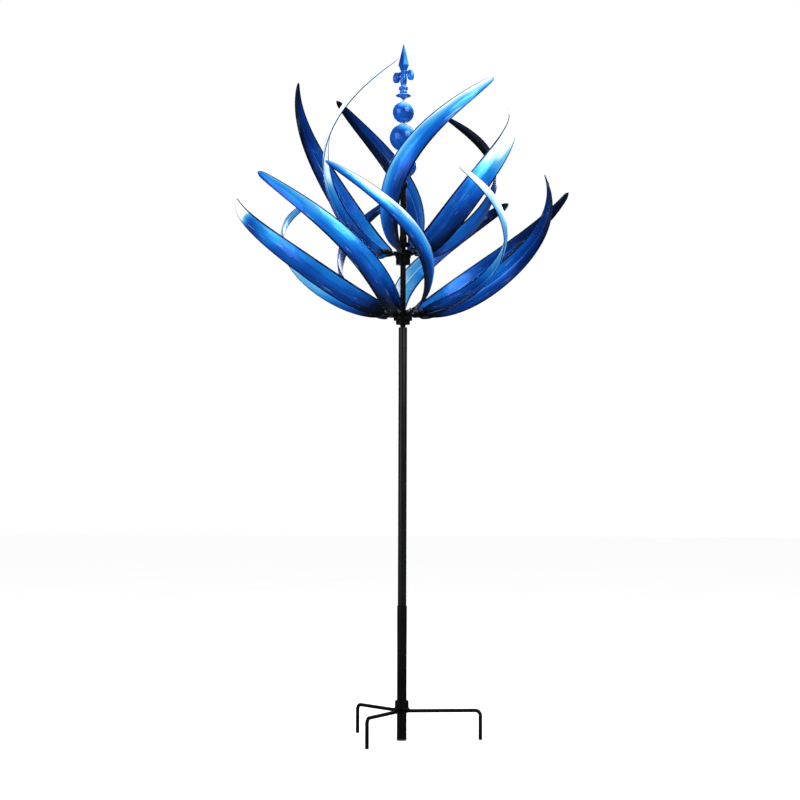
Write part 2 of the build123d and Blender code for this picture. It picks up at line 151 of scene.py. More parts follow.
UPPER = Tier(name="upper", hub_z=plate_underside("upper"),
             root_radius=58.0, root_rise=8.0, tip_radius=290.0, tip_rise=438.0, cup=True,
             sweep=62.0, sweep_power=3.2, pitch=39.0,
             root_width=27.0, full_width=69.0, swell=0.98, counter=True, first_azimuth=-106.0,
             bends=(Bend(5, 5, -5, (0.10, 0.32, 0.46, 0.56, 0.82), slant=0.22),
                    Bend(0, 0, -30, (0.06, 0.18, 0.28, 0.34, 0.40, 0.56, 0.84, 1.0, 1.0), tip_width=10),
                    Bend(-6, 45, -5, (0.12, 0.44, 0.34, 0.12, 0.06)),
                    Bend(-3, -20, 15, (0.18, 0.46, 0.43, 0.37, 0.26, 0.06)),
                    Bend(-6, -10, 10, (0.40, 0.54, 0.50, 0.44, 0.38, 0.31, 0.20, 0.04)),
                    Bend(11, -10, 20, (0.14, 0.40, 0.32, 0.28, 0.34, 0.46, 0.80, 0.93, 0.98, 1.0, 1.0),
                         twist=10)))


def blade_point(tier, t, bend):
    """Centre line of a blade that leaves the hub along +X and swirls clockwise; t runs 0 to 1.

    A blade's own bend starts past the root, so that every root meets its tab the same way.
    """
    settled = 1 - (1 - t) ** SETTLE_POWER
    if tier.cup:
        share = sin(pi / 2 * t) ** CUP_POWER
        climb = 1 - cos(pi / 2 * t)
    else:
        share = t
        climb = BOWL_CURVE * t ** 2 + BOWL_SLOPE * t
    radius = tier.root_radius + (tier.tip_radius - tier.root_radius + bend.reach * settled) * share
    height = tier.hub_z + tier.root_rise + (tier.tip_rise - tier.root_rise + bend.rise * settled) * climb
    turn = -radians(tier.sweep + bend.sweep) * t ** tier.sweep_power
    return Vector((radius * cos(turn), radius * sin(turn), height))


def blade_frame(tier, t, bend):
    """Origin and three directions at a station: across the blade, into the bowl, and along."""
    step = 0.001
    here = blade_point(tier, t, bend)
    along = (blade_point(tier, t + step, bend) - here).normalized()
    around = Vector((-here.y, here.x, 0)).normalized()
    around = (around - along * around.dot(along)).normalized()
    inward = along.cross(around)
    pitch = radians(tier.pitch + bend.twist * (1 - (1 - t) ** 3))
    across = around * cos(pitch) + inward * sin(pitch)
    return here, across, along.cross(across), along


def blade_width(tier, t, bend):
    """Narrow root, widest past the middle, and a rounded tip."""
    swell = sin(pi * t ** tier.swell) ** SWELL_POWER if 0 < t < 1 else 0.0
    base = tier.root_width + (bend.tip_width - tier.root_width) * t
    width = base + (tier.full_width - 0.5 * (tier.root_width + bend.tip_width)) * swell
    tip_share = 0.004 + 0.0012 * bend.tip_width
    if t > 1 - tip_share:
        width *= sqrt(max(0.03, 1 - ((t - 1 + tip_share) / tip_share) ** 2))
    return width


def tone_at(paint_and_light_tones, t):
    """Smooth blend of a blade's paint, with its painted light and shade, between its stations, which are
    evenly spaced from root to tip.
    """
    place = min(max(t, 0.0), 0.9999) * (len(paint_and_light_tones) - 1)
    index = int(place)
    share = place - index
    share = share * share * (3 - 2 * share)
    return paint_and_light_tones[index] * (1 - share) + paint_and_light_tones[index + 1] * share


def section(width, dish):
    """(across, inward, rim share, inner face) round a thin dished section with a centre crease."""
    half = width / 2
    thickness = BLADE_THICKNESS
    rim = min(thickness / 2, half / 3)

    def depth(share):
        return dish * (-1 + DISH_SLOPE * share + DISH_CURVE * share * share)

    points = []
    shares = [(column / HALF_COLUMNS) ** COLUMN_CROWDING for column in range(HALF_COLUMNS + 1)]
    inner = [-share for share in reversed(shares)] + shares[1:]
    for share in inner:
        points.append((share * (half - rim), depth(abs(share)), abs(share), 1.0))
    for step in range(1, RIM_STEPS):
        angle = pi / 2 - pi * step / RIM_STEPS
        points.append((half - rim + rim * cos(angle), -thickness / 2 + thickness / 2 * sin(angle), 1.0, 0.5))
    for share in reversed(inner):
        points.append((share * (half - rim), depth(abs(share)) - thickness, abs(share), 0.0))
    for step in range(1, RIM_STEPS):
        angle = -pi / 2 - pi * step / RIM_STEPS
        points.append((-half + rim + rim * cos(angle), -thickness / 2 + thickness / 2 * sin(angle), 1.0, 0.5))
    return points


def blade_stations(tier, bend):
    """(place, across, inward, width, dish, t, distance from the root) along the tang and blade."""
    stations = []
    here, across, inward, along = blade_frame(tier, 0.0, bend)
    for step in range(TANG_STEPS):
        back = TANG_LENGTH * (1 - step / TANG_STEPS)
        width = tier.root_width * (1 - TANG_TAPER * back / TANG_LENGTH)
        corner = max(0.0, 1 - (TANG_LENGTH - back) / TANG_CORNER)
        width *= sqrt(1 - 0.75 * corner * corner)
        stations.append((here - along * back, across, inward, width, ROOT_DISH, 0.0, -back))
    travelled = 0.0
    previous = here
    for step in range(BLADE_STEPS + 1):
        t = 1 - (1 - step / BLADE_STEPS) ** STATION_CROWDING
        place, across, inward, _ = blade_frame(tier, t, bend)
        travelled += (place - previous).length
        previous = place
        width = blade_width(tier, t, bend)
        dish = ROOT_DISH + DISH_SHARE * width * min(1, 4 * t)
        stations.append((place, across, inward, width, dish, t, travelled))
    return stations


def blade(tier, bend, azimuth, seed):
    """One formed blade with its tang, and the paint values that its material reads."""
    mesh = bmesh.new()
    tone_and_light_layer = mesh.verts.layers.float.new("tone")
    rim_layer = mesh.verts.layers.float.new("rim")
    inner_layer = mesh.verts.layers.float.new("inner")
    side_light_layer = mesh.verts.layers.float.new("slant")
    place_layer = mesh.verts.layers.float_vector.new("paint_place")
    rings = []
    for place, across, inward, width, dish, t, distance in blade_stations(tier, bend):
        ring = []
        for x, y, rim, inner in section(width, dish):
            point = place + across * x + inward * y
            if tier.counter:
                point.y = -point.y
            vertex = mesh.verts.new(point * MM)
            # paint with painted light and shade, blended along the blade
            vertex[tone_and_light_layer] = tone_at(bend.paint_and_light_tones, t)
            vertex[rim_layer] = rim
            vertex[inner_layer] = inner
            # painted side light: paler toward one long edge, darker toward the other
            vertex[side_light_layer] = bend.slant * 2 * x / width
            vertex[place_layer] = Vector((distance * MM, x * MM, seed))
            ring.append(vertex)
        rings.append(ring)
    count = len(rings[0])
    for lower, upper in zip(rings, rings[1:]):
        for step in range(count):
            after = (step + 1) % count
            mesh.faces.new((lower[step], lower[after], upper[after], upper[step]))
    mesh.faces.new(list(reversed(rings[0])))
    mesh.faces.new(rings[-1])
    bmesh.ops.recalc_face_normals(mesh, faces=mesh.faces[:])
    mesh.transform(Matrix.Rotation(radians(azimuth), 4, "Z"))
    return mesh


# ---- mesh helpers -----------------------------------------------------------------------------
def piece(name, mesh, body, node, material, sharp=40.0):
    """Turns a bmesh into a named object that stands for a CAD node and rides on its body."""
    data = bpy.data.meshes.new(name)
    mesh.to_mesh(data)
    mesh.free()
    data.shade_smooth()
    data.set_sharp_from_angle(angle=radians(sharp))
    thing = bpy.data.objects.new(name, data)
    bpy.context.scene.collection.objects.link(thing)
    data.materials.append(material)
    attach(thing, body)
    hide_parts(node)


def body_of(node):
    """The body that a CAD node rides on."""
    for body, members in frame["record"]["behaviour"]["bodies"].items():
        if node in members:
            return body
    raise ValueError(node)


def eased(outline, size):
    """The closed outline with each corner cut to a short round of about the given size."""
    result = []
    count = len(outline)
    for index, here in enumerate(outline):
        before = Vector(outline[index - 1])
        after = Vector(outline[(index + 1) % count])
        corner = Vector(here)
        back = before - corner
        on = after - corner
        reach = min(size, back.length / 2.5, on.length / 2.5)
        if corner.x == 0 or reach < 0.02:
            result.append(tuple(corner))
            continue
        first = corner + back.normalized() * reach
        last = corner + on.normalized() * reach
        for step in range(4):
            share = step / 3
            blend = first * (1 - share) ** 2 + corner * 2 * share * (1 - share) + last * share ** 2
            result.append(tuple(blend))
    return result


def turned(outline, ease=0.5, ripple=None):
    """A closed solid of revolution from (radius, height) points in millimetres.

    A ripple of (count, depth) cuts shallow grips into the widest part.
    """
    widest = max(radius for radius, _ in outline)
    segments = ROUND if ripple is None else 6 * ripple[0]
    if ease > 0:
        outline = eased(outline, ease)
    mesh = bmesh.new()
    columns = []
    for radius, height in outline:
        if radius < 0.01:
            columns.append([mesh.verts.new((0, 0, height * MM))])
            continue
        column = []
        for turn in range(segments):
            angle = 2 * pi * turn / segments
            reach = radius
            if ripple and radius > widest - 0.2:
                reach -= ripple[1] * (0.5 + 0.5 * cos(ripple[0] * angle))
            column.append(mesh.verts.new((reach * cos(angle) * MM, reach * sin(angle) * MM, height * MM)))
        columns.append(column)
    for here, after in zip(columns, columns[1:] + columns[:1]):
        for turn in range(segments):
            on = (turn + 1) % segments
            if len(here) == 1 and len(after) == 1:
                break
            if len(here) == 1:
                mesh.faces.new((here[0], after[on], after[turn]))
            elif len(after) == 1:
                mesh.faces.new((here[turn], here[on], after[0]))
            else:
                mesh.faces.new((here[turn], here[on], after[on], after[turn]))
    bmesh.ops.recalc_face_normals(mesh, faces=mesh.faces[:])
    return mesh


def span(node):
    """Bottom, top and outer radius of a round node on the axis, in millimetres."""
    low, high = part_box(node)
    return low.z / MM, high.z / MM, (high.x - low.x) / 2 / MM


# ---- materials --------------------------------------------------------------------------------
class Nodes:
    """Short calls for building one node material."""

    def __init__(self, name):
        self.material = bpy.data.materials.new(name)
        self.material.use_nodes = True
        self.tree = self.material.node_tree
        self.tree.nodes.clear()
        self.shader = self.add("ShaderNodeBsdfPrincipled")
        output = self.add("ShaderNodeOutputMaterial")
        self.link(self.shader.outputs[0], output.inputs[0])

    def add(self, kind, **values):
        node = self.tree.nodes.new(kind)
        for key, value in values.items():
            setattr(node, key, value)
        return node

    def link(self, source, target):
        self.tree.links.new(source, target)

    def put(self, target, value):
        if isinstance(value, (int, float, tuple)):
            target.default_value = value
        else:
            self.link(value, target)

    def attribute(self, name, output="Fac"):
        return self.add("ShaderNodeAttribute", attribute_name=name).outputs[output]

    def place(self):
        return self.add("ShaderNodeTexCoord").outputs["Object"]

    def math(self, operation, a, b=0.0, clamp=False):
        node = self.add("ShaderNodeMath", operation=operation, use_clamp=clamp)
        self.put(node.inputs[0], a)
        self.put(node.inputs[1], b)
        return node.outputs[0]

    def stretch(self, vector, factors):
        node = self.add("ShaderNodeVectorMath", operation="MULTIPLY")
        self.link(vector, node.inputs[0])
        node.inputs[1].default_value = factors
        return node.outputs[0]

    def noise(self, vector, scale, detail=3.0, rough=0.5):
        node = self.add("ShaderNodeTexNoise")
        self.link(vector, node.inputs["Vector"])
        node.inputs["Scale"].default_value = scale
        node.inputs["Detail"].default_value = detail
        node.inputs["Roughness"].default_value = rough
        return node.outputs["Fac"]

    def step(self, value, low, high, to_low=0.0, to_high=1.0):
        node = self.add("ShaderNodeMapRange", interpolation_type="SMOOTHSTEP")
        self.put(node.inputs["Value"], value)
        node.inputs["From Min"].default_value = low
        node.inputs["From Max"].default_value = high
        node.inputs["To Min"].default_value = to_low
        node.inputs["To Max"].default_value = to_high
        return node.outputs["Result"]

    def ramp(self, value, stops):
        node = self.add("ShaderNodeValToRGB")
        self.put(node.inputs[0], value)
        elements = node.color_ramp.elements
        while len(elements) < len(stops):
            elements.new(0.5)
        for element, (position, colour) in zip(elements, stops):
            element.position = position
            element.color = (*colour, 1)
        return node.outputs["Color"]

    def mix(self, share, a, b):
        node = self.add("ShaderNodeMix", data_type="RGBA")
        self.put(node.inputs[0], share)
        for socket, value in ((node.inputs[6], a), (node.inputs[7], b)):
            self.put(socket, (*value, 1) if isinstance(value, tuple) else value)
        return node.outputs[2]

    def bump(self, layers):
        """Bump from (height, strength, distance in metres) layers, one on another."""
        normal = None
        for height, strength, distance in layers:
            node = self.add("ShaderNodeBump")
            node.inputs["Strength"].default_value = strength
            node.inputs["Distance"].default_value = distance
            self.link(height, node.inputs["Height"])
            if normal:
                self.link(normal, node.inputs["Normal"])
            normal = node.outputs[0]
        self.link(normal, self.shader.inputs["Normal"])

    def finish(self, colour, rough, **constants):
        self.link(colour, self.shader.inputs["Base Color"])
        self.put(self.shader.inputs["Roughness"], rough)
        for key, value in constants.items():
            self.shader.inputs[key.replace("_", " ")].default_value = value
        return self.material


BLUES = ((0.0, (0.0004, 0.0007, 0.002)), (0.16, (0.001, 0.0075, 0.036)), (0.34, (0.0015, 0.042, 0.27)),
         (0.46, (0.003, 0.115, 0.56)), (0.58, (0.012, 0.26, 0.82)), (0.72, (0.12, 0.52, 0.93)),
         (0.86, (0.60, 0.86, 0.97)), (1.0, (0.98, 0.99, 1.0)))


def blade_paint():
    """Glossy blue that runs from near black at the root to its own lightness at the tip, with painted light
    and shade in it: a paler and a darker long side, dark rims, a pale crease line, reflection streaks and
    glints.
    """
    n = Nodes("blade_paint")
    place = n.attribute("paint_place", "Vector")
    rim = n.attribute("rim")
    inner = n.attribute("inner")
    tone = n.attribute("tone")
    # painted reflections: long pale and dark streaks along the blade
    reflection_streak = n.noise(n.stretch(place, (5, 70, 3)), 1.0, 2.0)
    cloud = n.noise(n.stretch(place, (9, 20, 5)), 1.0, 1.0)
    # painted side light and shade across the blade
    tone = n.math("ADD", tone, n.attribute("slant"))
    tone = n.math("ADD", tone, n.math("MULTIPLY", n.math("SUBTRACT", reflection_streak, 0.5), 0.24))
    tone = n.math("ADD", tone, n.math("MULTIPLY", n.math("SUBTRACT", cloud, 0.5), 0.26))
    # painted shade: the rims darken, as a sheet's edge in shadow does
    shaded_rim = n.math("ADD", rim, n.math("MULTIPLY", n.math("SUBTRACT", cloud, 0.5), 0.10))
    edge = n.step(shaded_rim, 0.84, 0.97, 1.0, 0.12)
    tone = n.math("MULTIPLY", tone, edge, clamp=True)
    # painted highlight: a pale line along the crease of the inner face
    crease = n.math("MULTIPLY", n.step(rim, 0.0, 0.05, 1.0, 0.0), n.step(inner, 0.6, 0.9))
    tone = n.math("ADD", tone, n.math("MULTIPLY", crease, 0.22), clamp=True)
    colour = n.ramp(tone, BLUES)
    glint = n.step(n.noise(n.stretch(place, (14, 240, 7)), 1.0, 2.0), 0.66, 0.71)
    colour = n.mix(n.math("MULTIPLY", glint, 0.32), colour, (0.45, 0.72, 0.95))
    n.link(n.step(tone, 0.70, 0.92, 0.45, 0.0), n.shader.inputs["Metallic"])
    chips = n.math("MULTIPLY", n.step(n.noise(place, 420.0, 4.0), 0.62, 0.68), n.step(rim, 0.97, 1.0))
    colour = n.mix(chips, colour, (0.42, 0.46, 0.52))
    scuff = n.noise(n.stretch(place, (60, 260, 5)), 1.0, 4.0)
    rough = n.step(scuff, 0.3, 0.75, 0.22, 0.29)
    n.bump(((n.noise(place, 30.0, 1.0), 0.35, 0.004), (n.noise(place, 900.0, 2.0), 0.03, 0.0002)))
    return n.finish(colour, rough, Specular_IOR_Level=0.2, Coat_Weight=0.15, Coat_Roughness=0.08)


def finial_paint():
    """Glossy blue paint on cast metal and balls, paler on sharp edges, with painted light: faces that look up
    and to one side are paler.
    """
    n = Nodes("finial_paint")
    place = n.place()
    cloud = n.noise(place, 26.0, 2.0)
    fine = n.noise(place, 90.0, 2.0)
    tone = n.math("ADD", n.math("MULTIPLY", cloud, 0.44), n.math("MULTIPLY", fine, 0.14))
    tone = n.math("ADD", tone, 0.15, clamp=True)
    # painted light: faces that look up and to one side are paler
    lit_side = n.add("ShaderNodeVectorMath", operation="DOT_PRODUCT")
    n.link(n.add("ShaderNodeTexCoord").outputs["Normal"], lit_side.inputs[0])
    lit_side.inputs[1].default_value = (0.42, -0.25, 0.87)
    tone = n.math("ADD", tone, n.step(lit_side.outputs["Value"], 0.25, 0.95, -0.05, 0.42), clamp=True)
    colour = n.ramp(tone, BLUES)
    pale_edge = n.step(n.add("ShaderNodeNewGeometry").outputs["Pointiness"], 0.53, 0.60)
    colour = n.mix(n.math("MULTIPLY", pale_edge, 0.35), colour, (0.30, 0.60, 0.95))
    rough = n.step(fine, 0.3, 0.7, 0.12, 0.24)
    n.bump(((n.noise(place, 45.0, 1.0), 0.30, 0.002), (n.noise(place, 900.0, 2.0), 0.04, 0.0002)))
    return n.finish(colour, rough, Metallic=0.30, Specular_IOR_Level=0.35, Coat_Weight=0.4,
                    Coat_Roughness=0.04)


def black_paint(name="black_powder_coat", specular=0.05):
    """Black powder coat: fine pebbled skin, faint dust and paler worn edges."""
    n = Nodes(name)
    place = n.place()
    dust = n.noise(place, 9.0, 3.0)
    grain = n.noise(place, 1500.0, 2.0)
    colour = n.ramp(dust, ((0.35, (0.0018, 0.0018, 0.0018)), (0.7, (0.0042, 0.0042, 0.0038))))
    pale_edge = n.step(n.add("ShaderNodeNewGeometry").outputs["Pointiness"], 0.60, 0.72)
    pale_edge = n.math("MULTIPLY", pale_edge, n.step(n.noise(place, 260.0, 3.0), 0.50, 0.68))
    colour = n.mix(n.math("MULTIPLY", pale_edge, 0.22), colour, (0.08, 0.08, 0.08))
    rough = n.step(n.math("ADD", grain, dust), 0.7, 1.3, 0.26, 0.40)
    n.bump(((grain, 0.03, 0.0002),))
    return n.finish(colour, rough, Specular_IOR_Level=specular)


def zinc_steel():
    """Zinc plate on screws, races and balls: grey with faint cloudy colour and fine scratches."""
    n = Nodes("zinc_steel")
    place = n.place()
    cloud = n.noise(place, 90.0, 3.0)
    colour = n.ramp(cloud, ((0.3, (0.36, 0.38, 0.41)), (0.7, (0.60, 0.61, 0.62))))
    scratch = n.noise(n.stretch(place, (900, 900, 120)), 1.0, 3.0)
    colour = n.mix(n.step(scratch, 0.6, 0.75, 0.0, 0.4), colour, (0.22, 0.22, 0.23))
    rough = n.step(scratch, 0.3, 0.7, 0.24, 0.44)
    n.bump(((scratch, 0.12, 0.0003),))
    return n.finish(colour, rough, Metallic=1.0)


def moulded_plastic():
    """Black moulded plastic with a fine matt texture."""
    n = Nodes("moulded_plastic")
    place = n.place()
    grain = n.noise(place, 1100.0, 2.0)
    colour = n.ramp(n.noise(place, 30.0, 3.0), ((0.3, (0.012, 0.012, 0.012)), (0.7, (0.022, 0.022, 0.023))))
    rough = n.step(grain, 0.3, 0.7, 0.48, 0.64)
    n.bump(((grain, 0.3, 0.0003),))
    return n.finish(colour, rough)


MATERIALS = {"black_paint": black_paint(), "blade_blue": blade_paint(), "finial_blue": finial_paint(),
             "pole_paint": black_paint("satin_black", 0.30), "steel": zinc_steel(),
             "bush_plastic": moulded_plastic()}


# ---- rotors -----------------------------------------------------------------------------------
def add_blades(tier):
    count = len(tier.bends)
    for index, bend in enumerate(tier.bends):
        node = f"{tier.name}_blade_{index + 1}"
        azimuth = tier.first_azimuth + 360 * index / count
        seed = index + (10 if tier.counter else 0)
        piece(f"{node}_formed", blade(tier, bend, azimuth, seed), body_of(node), node,
              MATERIALS["blade_blue"], sharp=60.0)


for tier in (LOWER, UPPER):
    add_blades(tier)


# ---- stand, hubs and finial: turned and bent pieces -------------------------------------------
PRONG_REACH = 206.0         # from the pole's axis to the centre of a down leg
PRONG_BEND = 14.0
PRONG_AZIMUTHS = {"prong_right": 5.0, "prong_rear_left": 125.0, "prong_front_left": 245.0}
POLE_BORE = {"foot_tube": 11.2, "lower_pole": 11.2, "upper_pole": 9.6}
SPINDLE_RADIUS = 6.0
SHOULDER_RADIUS = 7.0
HUB_NECK_RADIUS = 11.0
HUB_NECK_BORE = 8.4
BEARING_RADIUS = 14.0
BEARING_WIDTH = 8.0
BARREL = {"lower": (18.5, 24.5, 10.5), "upper": (19.0, 20.5, 18.0)}    # barrel, flange, step height
FINIAL_ROD_RADIUS = 2.5
BALL_WALL = 1.5
BORE_GAP = 0.02             # between a press-fitted bore and what it sits on
SLIP_GAP = 0.03             # between a sliding bore and the spindle
BALL_STEPS = 40             # steps from one hole of a ball to the other
SEAM_DEPTH = 0.35
SEAM_SPREAD = 0.025         # radians
COLLAR_ROUND = 3            # how far the base collar's flare and crown curve in
CURVE_STEPS = 8
BARREL_GROOVE_DEPTH = 0.7
WELD_LENGTH = 12
WELD_SINK = 1.5             # how far a prong's root goes into the foot tube
WELD_BEAD = 1.4
WELD_FADE = 1.6
WELD_RIPPLE = 0.22
PRONG_STEPS = 12            # steps in each stretch of a prong
PRONG_END = ((40, 1.0), (20, 1.0), (1.4, 1.0), (0.5, 0.93), (0.0, 0.72))    # height, share of radius


def add_turned(node, outline, slot="black_paint", ease=0.5, material=None, ripple=None):
    """A turned piece that takes a round CAD node's place."""
    piece(f"{node}_turned", turned(outline, ease, ripple=ripple), body_of(node), node,
          material or MATERIALS[slot], sharp=32.0)


def add_pole_parts():
    for node, bore in POLE_BORE.items():
        low, high, radius = span(node)
        outline = [(bore, low), (radius, low), (radius, high), (bore, high)]
        material = MATERIALS["pole_paint"] if node == "upper_pole" else None
        add_turned(node, outline, ease=0.9, material=material)
    low, high, radius = span("base_collar")
    bore = span("foot_tube")[2] + 0.05
    waist = radius - COLLAR_ROUND
    flare = []
    crown = []
    for step in range(CURVE_STEPS + 1):
        angle = pi / 2 * step / CURVE_STEPS
        flare.append((radius - COLLAR_ROUND * sin(angle), low + 2 + 5 * (1 - cos(angle))))
        crown.append((waist - COLLAR_ROUND * (1 - cos(angle)), high - 5 + 5 * sin(angle)))
    add_turned("base_collar", [(bore, low), (radius, low)] + flare + crown + [(bore, high)], ease=0.5)


def add_hub_parts():
    for name, (radius, flange, step) in BARREL.items():
        node = f"{name}_hub_barrel"
        low, high, _ = span(node)
        seat = low + 1 + 2 * BEARING_WIDTH
        plate = plate_underside(name)
        ring = BEARING_RADIUS + BORE_GAP
        groove = low + step - 2.5
        outline = [(ring, low), (radius, low), (radius, groove - 1), (radius - BARREL_GROOVE_DEPTH, groove),
                   (radius, groove + 1), (radius, low + step), (flange, low + step), (flange, plate),
                   (HUB_NECK_RADIUS, plate), (HUB_NECK_RADIUS, high), (HUB_NECK_BORE, high),
                   (HUB_NECK_BORE, seat), (ring, seat)]
        add_turned(node, outline, ease=0.8)
        node = f"{name}_hub_nut"
        low, high, radius = span(node)
        bore = HUB_NECK_RADIUS + BORE_GAP
        outline = [(bore, low), (radius, low), (radius, high), (bore, high)]
        add_turned(node, outline, ease=1.2, ripple=KNURL)


def add_spindle_parts():
    low, high, _ = span("spindle")
    pole_top = span("upper_pole")[1]
    shoulder_top = span("lower_inner_races")[0]
    outline = [(0, low), (SPINDLE_RADIUS, low), (SPINDLE_RADIUS, pole_top), (SHOULDER_RADIUS, pole_top),
               (SHOULDER_RADIUS, shoulder_top), (SPINDLE_RADIUS, shoulder_top), (SPINDLE_RADIUS, high),
               (0, high)]
    add_turned("spindle", outline, ease=0.6)
    for node in ("spacer_tube", "top_sleeve"):
        low, high, radius = span(node)
        bore = SPINDLE_RADIUS + SLIP_GAP
        add_turned(node, [(bore, low), (radius, low), (radius, high), (bore, high)], ease=0.4)


def stem_outline():
    low, high, _ = span("finial_stem")
    rod_bottom = span("finial_rod")[0]
    bore = SPINDLE_RADIUS + SLIP_GAP
    bore_top = span("spindle")[1] + 1
    rod_bore = FINIAL_ROD_RADIUS + BORE_GAP
    return [(bore, low), (10, low), (10, low + 14), (8.4, low + 20), (9.4, low + 60), (7, high - 30),
            (11, high - 18), (11, high - 12), (7, high - 6), (9, high), (rod_bore, high),
            (rod_bore, rod_bottom), (0, rod_bottom), (0, bore_top), (bore, bore_top)]


def ball_outline(node):
    """A hollow ball with a faint seam round its middle and a rolled rim at each hole."""
    low, high, radius = span(node)
    centre = (low + high) / 2
    hole = FINIAL_ROD_RADIUS + 0.05
    outline = []
    first = asin(hole / radius)
    for step in range(BALL_STEPS + 1):
        angle = first + (pi - 2 * first) * step / BALL_STEPS
        seam = SEAM_DEPTH * exp(-((angle - pi / 2) / SEAM_SPREAD) ** 2)
        outline.append(((radius - seam) * sin(angle), centre - (radius - seam) * cos(angle)))
    inside = radius - BALL_WALL
    first = asin(hole / inside)
    for step in range(BALL_STEPS + 1):
        angle = pi - first - (pi - 2 * first) * step / BALL_STEPS
        outline.append((inside * sin(angle), centre - inside * cos(angle)))
    return outline


def flange_outline():
    low, high, _ = span("finial_flange")
    bore = FINIAL_ROD_RADIUS + BORE_GAP
    bore_top = span("finial_rod")[1] + 1
    return [(bore, low), (4, low), (7, low + 4), (17, low + 7), (20.4, low + 9), (20.4, low + 11.5),
            (18, low + 13.5), (8, low + 14.5), (8, low + 16.5), (10.5, low + 17.5), (10.5, low + 22),
            (8.5, low + 24), (12.6, low + 26), (12.6, low + 32.5), (9, high), (0, high), (0, bore_top),
            (bore, bore_top)]


def add_finial_parts():
    add_turned("finial_stem", stem_outline(), ease=1.0)
    for node in ("finial_ball_bottom", "finial_ball_middle", "finial_ball_top"):
        add_turned(node, ball_outline(node), slot="finial_blue", ease=0.0)
    add_turned("finial_flange", flange_outline(), slot="finial_blue", ease=0.9)


def prong_mesh(azimuth):
    """A bent rod: its end is chamfered and its root flares into a weld bead on the foot tube."""
    low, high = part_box("prong_right")
    level = (high.z / MM) - PRONG_RADIUS
    tube_radius = span("foot_tube")[2]
    stations = []
    bend_start = PRONG_REACH - PRONG_BEND
    weld_end = WELD_LENGTH - WELD_SINK
    for step in range(PRONG_STEPS + 1):
        x = tube_radius - WELD_SINK + WELD_LENGTH * step / PRONG_STEPS
        flare = WELD_BEAD * exp(-max(0.0, x - tube_radius) / WELD_FADE)
        stations.append(((x, 0, level), 0.0, PRONG_RADIUS + flare, flare))
    for step in range(1, PRONG_STEPS + 1):
        x = tube_radius + weld_end + (bend_start - tube_radius - weld_end) * step / (PRONG_STEPS + 1)
        stations.append(((x, 0, level), 0.0, PRONG_RADIUS, 0.0))
    for step in range(PRONG_STEPS + 1):
        angle = pi / 2 * step / PRONG_STEPS
        spot = (bend_start + PRONG_BEND * sin(angle), 0, level - PRONG_BEND * (1 - cos(angle)))
        stations.append((spot, angle, PRONG_RADIUS, 0.0))
    for height, radius in PRONG_END:
        stations.append(((PRONG_REACH, 0, low.z / MM + height), pi / 2, PRONG_RADIUS * radius, 0.0))
    mesh = bmesh.new()
    rings = []
    for spot, angle, radius, bead in stations:
        out = Vector((sin(angle), 0, cos(angle)))
        side = Vector((0, 1, 0))
        ring = []
        for turn in range(ROD_SEGMENTS):
            way = 2 * pi * turn / ROD_SEGMENTS
            reach = radius + WELD_RIPPLE * bead * sin(9 * way) * sin(7 * way + 1)
            point = Vector(spot) + out * reach * cos(way) + side * reach * sin(way)
            ring.append(mesh.verts.new(point * MM))
        rings.append(ring)
    for here, after in zip(rings, rings[1:]):
        for turn in range(ROD_SEGMENTS):
            on = (turn + 1) % ROD_SEGMENTS
            mesh.faces.new((here[turn], here[on], after[on], after[turn]))
    mesh.faces.new(list(reversed(rings[0])))
    mesh.faces.new(rings[-1])
    bmesh.ops.recalc_face_normals(mesh, faces=mesh.faces[:])
    mesh.transform(Matrix.Rotation(radians(azimuth), 4, "Z"))
    return mesh


def add_prongs():
    for node, azimuth in PRONG_AZIMUTHS.items():
        piece(f"{node}_bent", prong_mesh(azimuth), body_of(node), node,
              MATERIALS["black_paint"], sharp=35.0)


def softened(node, width, keep=25.0):
    """The CAD shape as a new mesh with its flat faces joined and its edges rounded."""
    source = frame["nodes"][node]
    mesh = bmesh.new()
    mesh.from_mesh(source.data)
    mesh.transform(source.matrix_world)
    bmesh.ops.remove_doubles(mesh, verts=mesh.verts[:], dist=0.02 * MM)
    bmesh.ops.dissolve_limit(mesh, angle_limit=radians(1.0), verts=mesh.verts[:], edges=mesh.edges[:])
    edges = [edge for edge in mesh.edges
             if len(edge.link_faces) == 2 and edge.calc_face_angle(0.0) > radians(keep)]
    bmesh.ops.bevel(mesh, geom=edges, offset=width * MM, offset_type="OFFSET", segments=2, profile=0.5,
                    affect="EDGES", clamp_overlap=True)
    return mesh


def add_softened():
    for node, width in (("lower_hub_plate", 0.35), ("upper_hub_plate", 0.35), ("spindle_collar", 0.3)):
        piece(f"{node}_softened", softened(node, width), body_of(node), node,
              MATERIALS["black_paint"], sharp=40.0)


def shell(mesh, rings):
    """Closed skin over rings of points in millimetres; every ring has the same count."""
    columns = [[mesh.verts.new(Vector(point) * MM) for point in ring] for ring in rings]
    count = len(columns[0])
    for here, after in zip(columns, columns[1:]):
        for turn in range(count):
            on = (turn + 1) % count
            mesh.faces.new((here[turn], here[on], after[on], after[turn]))
    mesh.faces.new(list(reversed(columns[0])))
    mesh.faces.new(columns[-1])


def ring_at(centre, across, radii, count=24):
    """Ring of points round a centre; across holds its two unit directions."""
    return [Vector(centre) + across[0] * radii[0] * cos(2 * pi * turn / count)
            + across[1] * radii[1] * sin(2 * pi * turn / count) for turn in range(count)]


